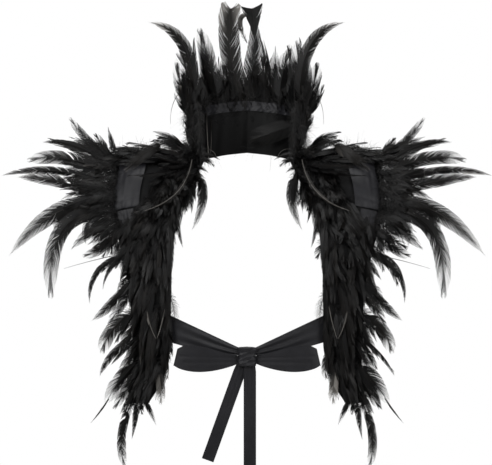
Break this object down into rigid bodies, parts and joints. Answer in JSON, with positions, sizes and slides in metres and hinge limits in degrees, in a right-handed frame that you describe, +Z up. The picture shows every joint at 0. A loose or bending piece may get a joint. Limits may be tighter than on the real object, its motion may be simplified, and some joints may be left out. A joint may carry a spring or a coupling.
{
  "type": "feather cape",
  "caption": "Open-fronted shoulder cape with a stand collar, hanging fronts, feather fringes all over and a ribbon tie with a bow.",
  "frame": {"origin": "the middle of the neck opening at the height of the neckline's lower sides, where the wearer's neck and shoulders carry the cape", "axes": "+X to the wearer's left, -Y to the front, +Z up"},
  "size_m": [0.7534, 0.2456, 0.7156],
  "materials": {
    "base_cloth": "matte black woven cotton",
    "collar_satin": "black satin over stiff interfacing",
    "ribbon_satin": "black satin ribbon",
    "feather": "dyed black feather, soft sheen"
  },
  "bodies": {
    "root": {"back_fringe_high_left": "feather", "back_fringe_high_right": "feather", "back_fringe_low_left": "feather", "back_fringe_low_right": "feather", "bow_loop_left": "ribbon_satin", "bow_loop_right": "ribbon_satin", "collar": "collar_satin", "collar_back_fringe_high": "feather", "collar_back_fringe_low": "feather", "collar_fringe_high_left": "feather", "collar_fringe_high_right": "feather", "collar_ribbon": "ribbon_satin", "front_fringe_1_left": "feather", "front_fringe_1_right": "feather", "front_fringe_2_left": "feather", "front_fringe_2_right": "feather", "front_fringe_3_left": "feather", "front_fringe_3_right": "feather", "front_fringe_4_left": "feather", "front_fringe_4_right": "feather", "front_fringe_5_left": "feather", "front_fringe_5_right": "feather", "front_fringe_6_left": "feather", "front_fringe_6_right": "feather", "front_fringe_7_left": "feather", "front_fringe_7_right": "feather", "front_fringe_8_left": "feather", "front_fringe_8_right": "feather", "front_fringe_9_left": "feather", "front_fringe_9_right": "feather", "front_left": "base_cloth", "front_right": "base_cloth", "knot": "ribbon_satin", "neck_fringe_high_left": "feather", "neck_fringe_high_right": "feather", "neck_fringe_inner_left": "feather", "neck_fringe_inner_right": "feather", "neck_fringe_over_left": "feather", "neck_fringe_over_right": "feather", "shoulder_fringe_long_left": "feather", "shoulder_fringe_long_right": "feather", "shoulder_fringe_short_left": "feather", "shoulder_fringe_short_right": "feather", "shoulder_fringe_top_left": "feather", "shoulder_fringe_top_right": "feather", "shoulder_left": "base_cloth", "shoulder_ribbon_end_left": "ribbon_satin", "shoulder_ribbon_end_right": "ribbon_satin", "shoulder_ribbon_left": "ribbon_satin", "shoulder_ribbon_right": "ribbon_satin", "shoulder_right": "base_cloth", "tail_left": "ribbon_satin", "tail_right": "ribbon_satin", "tie_left": "ribbon_satin", "tie_right": "ribbon_satin"}
  },
  "joints": []
}
